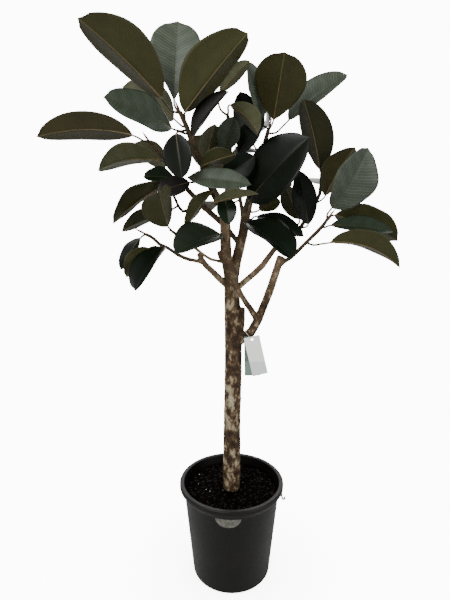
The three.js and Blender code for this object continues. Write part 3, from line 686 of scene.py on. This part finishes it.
def bark_push(point):
    """How far the bark stands out at a point, in metres."""
    swell = noise.noise(Vector((point.x * 14, point.y * 14, point.z * 7)))
    ridge = noise.noise(Vector((point.x * 60, point.y * 60, point.z * 26)))
    grain = noise.noise(Vector((point.x * 190, point.y * 190, point.z * 110)))
    is_bole = 1.0 if point.z < FORK_HEIGHT else 0.45
    # Smoothing thins the twigs, and this gives them their thickness back.
    away = math.hypot(point.x - LIMBS_MIDDLE, point.y)
    far_out = max(point.z - YOUNG_FROM, away - TWIGS_OUT) / 0.1
    regained = min(max(far_out, 0.0), 1.0) * TWIG_REGAIN
    ring = sum(math.exp(-(((point.z - height) / (6 * MM)) ** 2)) for height in KNOT_HEIGHTS)
    return is_bole * (swell * 1.3 + ridge * 0.9 + grain * 0.35 + ring * 0.8) * MM + regained


def trunk_piece():
    shape = remeshed("trunk", "trunk_wood", VOXEL, SMOOTHINGS)
    shape.normal_update()
    for vert in shape.verts:
        vert.co += vert.normal * (bark_push(vert.co) + BARK_REGAIN)
    wood = finish_piece(shape, "trunk_wood", [bark])
    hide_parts("trunk")
    return wood


trunk = trunk_piece()
print("trunk faces", len(trunk.data.polygons))

# %% [markdown]
# **Buds.** Each shoot of a rubber plant ends in a pointed sheath, red at first, that wraps the next leaf.
# It is a short bent rod with a swollen middle, and it grows out of the tip of its shoot in the same
# direction.

# %% Bud sheaths
BUD_LENGTH = 34 * MM
SHOOT_TIPS = {
    "left_leader": ((-0.142, -0.075, 1.445), (-0.45, -0.15, 0.9)),
    "centre_leader": ((0.110, 0.075, 1.430), (0.25, 0.1, 0.95)),
    "right_branch": ((0.280, 0.102, 1.305), (0.1, 0.0, 1.0)),
    "right_twig": ((0.268, -0.066, 1.165), (0.5, -0.2, 0.8)),
    "left_branch": ((-0.237, -0.010, 1.380), (-0.6, -0.1, 0.75)),
    "left_twig": ((-0.155, -0.060, 1.115), (-0.75, -0.2, 0.6)),
    "low_left_twig": ((-0.245, -0.079, 1.122), (-0.8, -0.2, 0.5)),
    "inner_left_twig": ((-0.168, -0.022, 1.228), (-0.3, -0.1, 0.9)),
}


def bud_skin():
    # A bud sheath is thin, dry and papery, with a waxy gleam: brick red fading to brown at its point.
    shades = [(0.35, "#3a2019"), (0.6, "#6b3327")]
    return flecked_surface("bud_sheath", {"Scale": 55.0, "Detail": 3.0}, shades, 0.4)[0]


def add_bud(shoot, start, heading, red):
    start = Vector(start)
    heading = Vector(heading).normalized()
    sweep = heading.orthogonal().normalized() * BUD_LENGTH * 0.08
    shares = (-0.12, 0.2, 0.5, 0.8, 1.0)
    points = [start + heading * BUD_LENGTH * share + sweep * share**2 for share in shares]
    radii = [2.4 * MM, 3.2 * MM, 2.9 * MM, 1.5 * MM, 0.3 * MM]
    return finish_piece(bent_rod(points, radii, sides=10, spans=16), "bud_" + shoot, [red])


bud_red = bud_skin()
buds = [add_bud(shoot, start, heading, bud_red) for shoot, (start, heading) in SHOOT_TIPS.items()]
print("buds", len(buds))

# %% [markdown]
# **Nursery pot.** A nursery pot is moulded polypropylene coloured with soot: one thin wall that tapers
# down, a rim that flares out to an upright band, and holes in the floor. A profile turned round the middle
# makes all of it. The profile follows the engineering model's sizes, with the small rounds that a mould
# leaves at each corner.

# %% Pot profile and turning
POT_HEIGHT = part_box("pot")[1].z
RIM_RADIUS = 170 * MM
RIM_BAND = 15 * MM
FLARE_DROP = 33 * MM
MOUTH_RADIUS = 155.5 * MM
BASE_RADIUS = 128 * MM
WALL = 2.4 * MM
POT_STEPS = 144
DRAIN_RADIUS = 8 * MM
DRAIN_CIRCLE = 85 * MM
DRAIN_COUNT = 6


def body_radius(height):
    """Outside of the tapered wall at a height."""
    top = MOUTH_RADIUS + WALL
    return BASE_RADIUS + (top - BASE_RADIUS) * height / POT_HEIGHT


def rounded(corners):
    """A profile's corners, each rounded with a short arc: (radius, height, rounding)."""
    path = []
    for i, (x, z, fillet) in enumerate(corners):
        here = Vector((x, z))
        if fillet == 0:
            path.append(here)
            continue
        before = Vector(corners[i - 1][:2])
        after = Vector(corners[i + 1][:2])
        start = here + (before - here).normalized() * fillet
        end = here + (after - here).normalized() * fillet
        for step in range(6):
            t = step / 5
            path.append(start * (1 - t) ** 2 + here * 2 * t * (1 - t) + end * t**2)
    return path


def pot_profile():
    floor = 3 * WALL / 2
    band_bottom = POT_HEIGHT - RIM_BAND
    flare_bottom = POT_HEIGHT - FLARE_DROP
    flare_width = RIM_RADIUS - body_radius(flare_bottom)
    return rounded([
        (0, 4 * MM, 0),
        (0.72 * BASE_RADIUS, 4 * MM, 2 * MM),
        (0.78 * BASE_RADIUS, 0, 2 * MM),
        (BASE_RADIUS, 0, 4 * MM),
        (body_radius(flare_bottom), flare_bottom, 5 * MM),
        (RIM_RADIUS - 0.5 * flare_width, band_bottom - 5 * MM, 4 * MM),
        (RIM_RADIUS, band_bottom, 3 * MM),
        (RIM_RADIUS, POT_HEIGHT, 5 * MM),
        (MOUTH_RADIUS, POT_HEIGHT, 3 * MM),
        (body_radius(floor) - WALL, floor + 4 * MM, 3 * MM),
        (0, floor + 4 * MM, 0),
    ])


def turned(profile, steps):
    """A profile in radius and height, spun once round the upright axis into a closed body."""
    body = bmesh.new()
    verts = [body.verts.new((point.x, 0, point.y)) for point in profile]
    edges = [body.edges.new(pair) for pair in zip(verts, verts[1:])]
    middle_line = {"cent": (0, 0, 0), "axis": (0, 0, 1)}
    full_turn = 2 * math.pi
    bmesh.ops.spin(body, geom=verts + edges, angle=full_turn, steps=steps, use_merge=True, **middle_line)
    bmesh.ops.remove_doubles(body, verts=body.verts, dist=0.01 * MM)
    bmesh.ops.recalc_face_normals(body, faces=body.faces)
    return body


def drilled(body, name):
    """The turned pot with its drain holes cut out."""
    shell = bpy.data.objects.new(name, bpy.data.meshes.new(name))
    body.to_mesh(shell.data)
    body.free()
    drills = bmesh.new()
    for i in range(DRAIN_COUNT):
        angle = (i + 0.5) * 2 * math.pi / DRAIN_COUNT
        place = Matrix.Translation((DRAIN_CIRCLE * math.cos(angle), DRAIN_CIRCLE * math.sin(angle), 0))
        size = {"radius1": DRAIN_RADIUS, "radius2": DRAIN_RADIUS, "depth": 40 * MM}
        bmesh.ops.create_cone(drills, cap_ends=True, segments=32, matrix=place, **size)
    cutter = bpy.data.objects.new(name + "_drills", bpy.data.meshes.new(name + "_drills"))
    drills.to_mesh(cutter.data)
    drills.free()
    for thing in (shell, cutter):
        bpy.context.scene.collection.objects.link(thing)
    cut = shell.modifiers.new("drain", "BOOLEAN")
    cut.operation = "DIFFERENCE"
    cut.object = cutter
    result = bmesh.new()
    result.from_object(shell, bpy.context.evaluated_depsgraph_get())
    bpy.data.objects.remove(shell)
    bpy.data.objects.remove(cutter)
    return result


pot_body = drilled(turned(pot_profile(), POT_STEPS), "pot_shell")
print("pot faces", len(pot_body.faces))

# %% [markdown]
# Soot-black polypropylene comes out of the mould satin, not glossy. Handling leaves grey scuffs, the
# top 8 mm of the rim is a little lighter, and watering leaves a film of dust and lime on the wall, so the
# roughness and the colour both wander a little.

# %% Pot plastic


def moulded_pot_plastic():
    material, tree, shader = start_material("moulded_polypropylene")
    coordinates = add(tree, "TexCoord", {}, output="Object")
    # Film in clouds of about 80 mm, scuffs about 10 mm long, and a mould grain under 1 mm drawn at 1.5 mm.
    dust_film_and_painted_sheen = add(tree, "TexNoise", {"Vector": coordinates, "Scale": 12.0, "Detail": 5.0, "Roughness": 0.6})
    flat = add(tree, "Mapping", {"Vector": coordinates, "Scale": (1.0, 1.0, 5.0)})
    scuffs = add(tree, "TexNoise", {"Vector": flat, "Scale": 95.0, "Detail": 6.0, "Roughness": 0.7})
    grain = add(tree, "TexNoise", {"Vector": coordinates, "Scale": 650.0, "Detail": 2.0})
    height = add(tree, "SeparateXYZ", {"Vector": coordinates}, output="Z")
    dusty = [(0.35, "#080705"), (0.6, "#0c0a08"), (0.75, "#13110e")]
    base = add(tree, "ValToRGB", {0: dust_film_and_painted_sheen}, steps=dusty)
    # The top 8 mm of the rim is a little lighter.
    rim_low, rim_high = POT_HEIGHT - 8 * MM, POT_HEIGHT
    rim = add(tree, "MapRange", {"Value": height, "From Min": rim_low, "From Max": rim_high, "To Max": 0.6})
    lighter_rim_top = add(tree, "Mix", {0: rim, 6: base, 7: "#13110f"}, **COLOUR_MIX)
    marks = add(tree, "ValToRGB", {0: scuffs}, steps=[(0.62, 0.0), (0.72, 0.35)])
    marked = add(tree, "Mix", {0: marks, 6: lighter_rim_top, 7: "#1f1c18"}, **COLOUR_MIX)
    tree.links.new(marked, shader.inputs["Base Color"])
    satin = add(tree, "Math", {0: dust_film_and_painted_sheen, 1: 0.25, 2: 0.32}, operation="MULTIPLY_ADD")
    tree.links.new(satin, shader.inputs["Roughness"])
    shader.inputs["IOR"].default_value = 1.49
    shader.inputs["Specular IOR Level"].default_value = 0.26
    relief = add(tree, "Bump", {"Height": grain, "Strength": 0.25, "Distance": 0.15 * MM})
    tree.links.new(relief, shader.inputs["Normal"])
    return material


pot_plastic = moulded_pot_plastic()
pot = finish_piece(pot_body, "nursery_pot", [pot_plastic])
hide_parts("pot")
print("made", pot_plastic.name)

# %% [markdown]
# A small hook for a drip line hangs from the rim at the pot's front right. It is wire, bent into an open C.

# %% Drip hook
HOOK_TURN = Matrix.Rotation(math.radians(-20), 3, "Z")
band_bottom = POT_HEIGHT - RIM_BAND
hook_wire = 2.6 * MM
# Each bend is so far out from the rim, and so far up from the foot of the band, in millimetres.
hook_bends = [(-1.2, 6), (-1.2, -6), (3, -17), (9, -14.5), (7, -8)]
hook_points = [
    HOOK_TURN @ Vector((RIM_RADIUS + out * MM, 0, band_bottom + up * MM)) for out, up in hook_bends
]
hook_rod = bent_rod(hook_points, [hook_wire] * len(hook_points), sides=12, spans=40)
hook = finish_piece(hook_rod, "drip_hook", [pot_plastic])
print("hook faces", len(hook.data.polygons))

# %% [markdown]
# **Potting soil.** Peat and composted bark: nearly black when damp, lumpy, and a little higher round the
# trunk. The ground is a fine grid pressed into a disc, pushed up and down by noise at three sizes, then
# closed underneath.

# %% Soil ground
SOIL_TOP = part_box("soil")[1].z
SOIL_RADIUS = body_radius(SOIL_TOP) - WALL - 0.8 * MM
SOIL_CELLS = 170
SOIL_SKIRT = 40 * MM  # how far down the edge of the ground is closed


def disc_point(x, y):
    """A point of a square from -1 to 1, moved into a disc without bunching at the corners."""
    return x * math.sqrt(1 - y * y / 2), y * math.sqrt(1 - x * x / 2)


def soil_height(x, y):
    """Height of the ground at a place, in metres."""
    away = math.hypot(x, y) / SOIL_RADIUS
    lumps = noise.noise(Vector((x * 38, y * 38, 2.0))) * 2.6
    crumbs = noise.noise(Vector((x * 110, y * 110, 5.0))) * 1.8
    grit = noise.noise(Vector((x * 320, y * 320, 8.0))) * 0.9
    return SOIL_TOP - (3.5 + 4.0 * away**3 - lumps - crumbs - grit) * MM


def soil_ground():
    ground = bmesh.new()
    bmesh.ops.create_grid(ground, x_segments=SOIL_CELLS, y_segments=SOIL_CELLS, size=1)
    for vert in ground.verts:
        x, y = disc_point(vert.co.x, vert.co.y)
        vert.co = (x * SOIL_RADIUS, y * SOIL_RADIUS, soil_height(x * SOIL_RADIUS, y * SOIL_RADIUS))
    rim = [edge for edge in ground.edges if edge.is_boundary]
    skirt = bmesh.ops.extrude_edge_only(ground, edges=rim)["geom"]
    low = [part for part in skirt if isinstance(part, bmesh.types.BMVert)]
    for vert in low:
        vert.co.z = SOIL_TOP - SOIL_SKIRT
        vert.co.xy = vert.co.xy * 0.985
    bmesh.ops.holes_fill(ground, edges=[edge for edge in ground.edges if edge.is_boundary], sides=0)
    bmesh.ops.recalc_face_normals(ground, faces=ground.faces)
    return ground


# %% [markdown]
# Peat soaks up light, and damp crumbs catch a little of it. Most of the ground is nearly black, with
# red-brown bark bits of 5 to 10 mm in it.

# %% Soil materials


def damp_peat():
    # Bark bits of about 8 mm, and crumbs of about 3 mm.
    bits = {"Scale": 120.0, "Detail": 6.0, "Roughness": 0.7}
    shades = [(0.42, "#020101"), (0.56, "#060302"), (0.70, "#130906")]
    material, tree, shader, coordinates = flecked_surface("damp_peat", bits, shades, 0.95)
    crumbs = add(tree, "TexNoise", {"Vector": coordinates, "Scale": 330.0, "Detail": 4.0})
    shader.inputs["Specular IOR Level"].default_value = 0.03
    relief = add(tree, "Bump", {"Height": crumbs, "Strength": 0.8, "Distance": 1.5 * MM})
    tree.links.new(relief, shader.inputs["Normal"])
    return material


def bark_chip():
    # Composted pine bark: torn, dry at the edges, red-brown.
    fibres = {"Scale": 160.0, "Detail": 5.0}
    shades = [(0.35, "#040202"), (0.56, "#140806"), (0.75, "#34170f")]
    material, _, shader, _ = flecked_surface("composted_bark_chip", fibres, shades, 0.8)
    shader.inputs["Specular IOR Level"].default_value = 0.15
    return material


def perlite():
    # Perlite is rock glass popped like corn, so a crumb of it is white and frosted.
    shades = [(0.3, "#b9b6ad"), (0.7, "#e6e4de")]
    return flecked_surface("popped_perlite", {"Scale": 900.0, "Detail": 2.0}, shades, 0.9)[0]


soil = finish_piece(soil_ground(), "soil_ground", [damp_peat()])
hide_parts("soil")
print("soil faces", len(soil.data.polygons))

# %% [markdown]
# Loose chips and crumbs lie on top. Each is a small ball of twenty faces, stretched, turned and sunk partly
# into the ground at its own place, so a few hundred of them stay light.

# %% Chips, clods and perlite
CHIP_COUNT = 420
SPECK_COUNT = 9
TRUNK_CLEAR = 34 * MM
chip_draws = random.Random(31)


def scattered(count, smallest, largest, flatness, rise):
    crumbs = bmesh.new()
    for _ in range(count):
        while True:
            away = SOIL_RADIUS * 0.95 * math.sqrt(chip_draws.random())
            if away > TRUNK_CLEAR:
                break
        angle = chip_draws.uniform(0, 2 * math.pi)
        x, y = away * math.cos(angle), away * math.sin(angle)
        size = chip_draws.uniform(smallest, largest) / 2
        stretch = (size, size * chip_draws.uniform(0.45, 0.95), size * flatness)
        turn = Matrix.Rotation(chip_draws.uniform(0, 2 * math.pi), 4, "Z")
        tip = Matrix.Rotation(chip_draws.uniform(-0.6, 0.6), 4, "X")
        place = Matrix.Translation((x, y, soil_height(x, y) + size * rise))
        matrix = place @ turn @ tip @ Matrix.Diagonal((*stretch, 1))
        bmesh.ops.create_icosphere(crumbs, subdivisions=1, radius=1, matrix=matrix)
    return crumbs


chip_bits = scattered(CHIP_COUNT, 4 * MM, 13 * MM, 0.4, 0.15)
chips = finish_piece(chip_bits, "bark_chips", [bark_chip()], smooth=False)
speck_bits = scattered(SPECK_COUNT, 2 * MM, 4.5 * MM, 0.8, 0.4)
specks = finish_piece(speck_bits, "perlite_specks", [perlite()], smooth=False)
print("faces of chips", len(chips.data.polygons), "and perlite", len(specks.data.polygons))

# %% [markdown]
# **Sticker, care card and tie.** Their engineering solids already have the right shape, so they stay and
# only get better materials. The sticker and the cards are left blank: printing isn't part of a reusable
# plant.

# %% Paper, card and wire


def refinish(node, material):
    for material_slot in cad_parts[node].material_slots:
        material_slot.material = material


def silvered_sticker():
    # Metallised paper, printed grey and weathered: a satin surface that is a little brighter where it is
    # worn.
    wear = {"Scale": 110.0, "Detail": 5.0, "Roughness": 0.65}
    shades = [(0.35, "#45443d"), (0.5, "#5b5a51"), (0.68, "#75736a")]
    return flecked_surface("silvered_paper_sticker", wear, shades, 0.45)[0]


def printed_card(name, top, low, change):
    # Coated card, matt lacquered: two flat inks that meet in a soft line, and fibres that barely show.
    material, tree, shader = start_material(name)
    coordinates = add(tree, "TexCoord", {}, output="Object")
    height = add(tree, "SeparateXYZ", {"Vector": coordinates}, output="Z")
    fibres = add(tree, "TexNoise", {"Vector": coordinates, "Scale": 220.0, "Detail": 4.0})
    where = {"Value": height, "From Min": change - 2 * MM, "From Max": change + 2 * MM}
    inks = add(tree, "Mix", {0: add(tree, "MapRange", where), 6: low, 7: top}, **COLOUR_MIX)
    flecked = add(tree, "Mix", {0: 0.06, 6: inks, 7: fibres}, **COLOUR_MIX, blend_type="OVERLAY")
    tree.links.new(flecked, shader.inputs["Base Color"])
    shader.inputs["Roughness"].default_value = 0.5
    return material


def coated_wire():
    # A bag tie: soft wire in an off-white plastic sleeve.
    shades = [(0.4, "#b9b8af"), (0.65, "#d8d8d0")]
    return flecked_surface("plastic_coated_wire", {"Scale": 90.0, "Detail": 3.0}, shades, 0.4)[0]


card_low, card_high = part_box("care_card_front")
ink_line = card_low.z + (card_high.z - card_low.z) * 0.36
refinish("pot_label", silvered_sticker())
refinish("care_card_front", printed_card("printed_card_front", "#fbfbf4", "#dde4e1", ink_line))
refinish("care_card_back", printed_card("printed_card_back", "#56665b", "#6f8278", ink_line))
refinish("card_tie", coated_wire())
print("card from", round(card_low.z, 3), "to", round(card_high.z, 3))

# %% [markdown]
# ** Stage.** The floor and the wall behind it are one sheet of white paper that curves upwards, so no line
# shows where they meet. It isn't part of the plant.

# %% Paper sweep


def paper_sweep():
    profile = rounded([(-4.0, -0.0, 0), (3.2, 0.0, 1.6), (3.2, 6.0, 0)])
    sweep = bmesh.new()
    verts = [sweep.verts.new((-5.0, point.x, point.y - 0.0005)) for point in profile]
    edges = [sweep.edges.new(pair) for pair in zip(verts, verts[1:])]
    wide = bmesh.ops.extrude_edge_only(sweep, edges=edges)["geom"]
    bmesh.ops.translate(sweep, verts=[v for v in wide if isinstance(v, bmesh.types.BMVert)], vec=(10, 0, 0))
    bmesh.ops.recalc_face_normals(sweep, faces=sweep.faces)
    return sweep


def white_paper():
    # Matt seamless paper that glows to the camera so strongly that it shows as white. The plant isn't lit by
    # that glow: only what is seen directly glows, and the plant gets the paper's ordinary reflection. The
    # glow is dimmer near the pot, a painted shadow.
    material, tree, shader = start_material("seamless_white_paper")
    shader.inputs["Base Color"].default_value = linear("#c9c9c8")
    shader.inputs["Roughness"].default_value = 0.95
    # Painted shadow: the glow dims where ambient occlusion finds the pot within 0.35 m.
    painted_shadow_openness = add(tree, "AmbientOcclusion", {"Distance": 0.35}, output="AO", samples=8)
    glow_with_painted_shadow = add(tree, "MapRange", {"Value": painted_shadow_openness, "To Min": 4.0, "To Max": 12.0})
    glow = add(tree, "Emission", {"Color": "#ffffff", "Strength": glow_with_painted_shadow})
    seen = add(tree, "LightPath", {}, output="Is Camera Ray")
    paper = add(tree, "MixShader", {0: seen, 1: shader.outputs["BSDF"], 2: glow})
    tree.links.new(paper, tree.nodes["Material Output"].inputs["Surface"])
    return material


sweep_mesh = bpy.data.meshes.new("paper_sweep")
sweep_shape = paper_sweep()
sweep_shape.to_mesh(sweep_mesh)
sweep_shape.free()
sweep_mesh.materials.append(white_paper())
for face in sweep_mesh.polygons:
    face.use_smooth = True
sweep = bpy.data.objects.new("paper_sweep", sweep_mesh)
bpy.context.scene.collection.objects.link(sweep)
print("sweep faces", len(sweep_mesh.polygons))

# %% [markdown]
# **Light.** A white room with three large soft lamps: a key from the upper left in front, a weaker fill
# from the right and one from above and behind that lifts the leaf edges.

# %% Lamps and room


def soft_lamp(name, place, target, width, height, power):
    data = bpy.data.lights.new(name, "AREA")
    data.shape = "RECTANGLE"
    data.size = width
    data.size_y = height
    data.energy = power
    lamp = bpy.data.objects.new(name, data)
    lamp.location = place
    heading = Vector(target) - Vector(place)
    lamp.rotation_euler = heading.to_track_quat("-Z", "Y").to_euler()
    lamp.visible_camera = False
    bpy.context.scene.collection.objects.link(lamp)
    return lamp


crown_middle = (0, 0, 1.25)
lamps = [
    soft_lamp("key_lamp", (-1.9, -2.4, 3.0), crown_middle, 2.2, 2.2, 130),
    soft_lamp("fill_lamp", (2.4, -1.8, 1.4), crown_middle, 1.6, 2.4, 45),
    soft_lamp("back_lamp", (0, 2.4, 2.7), crown_middle, 4.5, 1.8, 80),
]
world = bpy.data.worlds.new("white_room")
world.use_nodes = True
room = world.node_tree
room.nodes.clear()
lit = add(room, "Background", {"Color": "#ffffff", "Strength": 0.4})
shown = add(room, "Background", {"Color": "#ffffff", "Strength": 12.0})
direct = add(room, "LightPath", {}, output="Is Camera Ray")
both = add(room, "MixShader", {0: direct, 1: lit, 2: shown})
room.links.new(both, room.nodes.new("ShaderNodeOutputWorld").inputs["Surface"])
bpy.context.scene.world = world
print("lamps", [lamp.name for lamp in lamps])
